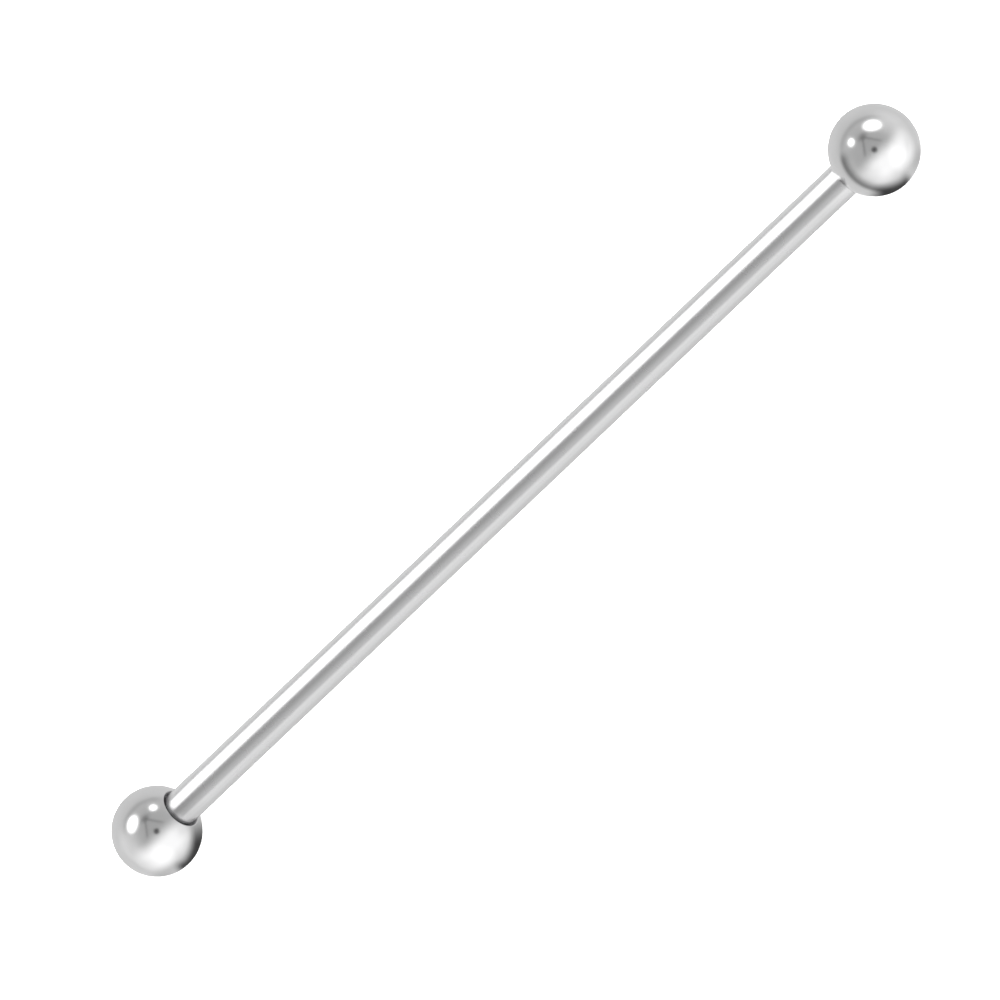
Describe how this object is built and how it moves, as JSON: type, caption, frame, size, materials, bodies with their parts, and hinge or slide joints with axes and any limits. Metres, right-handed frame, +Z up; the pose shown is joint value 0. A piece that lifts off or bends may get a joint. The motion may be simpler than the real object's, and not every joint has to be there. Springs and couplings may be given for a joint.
{
  "type": "industrial barbell",
  "caption": "Long straight body-jewellery barbell: a slim mirror-polished steel bar with a screw-on ball at each end.",
  "frame": {"origin": "centre of the footprint on the surface that the barbell rests on, midway between its two balls and straight below the bar's axis", "axes": "+X along the bar towards the right-hand ball, +Y across the bar, +Z up from the surface"},
  "size_m": [0.0556, 0.004, 0.004],
  "materials": {
    "polished_bar": "surgical steel, drawn straight and polished to a mirror, not plated",
    "polished_ball": "surgical steel ball, polished to a mirror, not plated"
  },
  "bodies": {
    "bar": {"bar": "polished_bar"},
    "left_ball": {"left_ball": "polished_ball"},
    "right_ball": {"right_ball": "polished_ball"}
  },
  "joints": [
    {"name": "left_ball_unscrew", "type": "slide", "parent": "bar", "child": "left_ball", "axis": [-1, 0, 0], "range_m": [0, 0.005]},
    {"name": "right_ball_unscrew", "type": "slide", "parent": "bar", "child": "right_ball", "axis": [1, 0, 0], "range_m": [0, 0.005]}
  ]
}
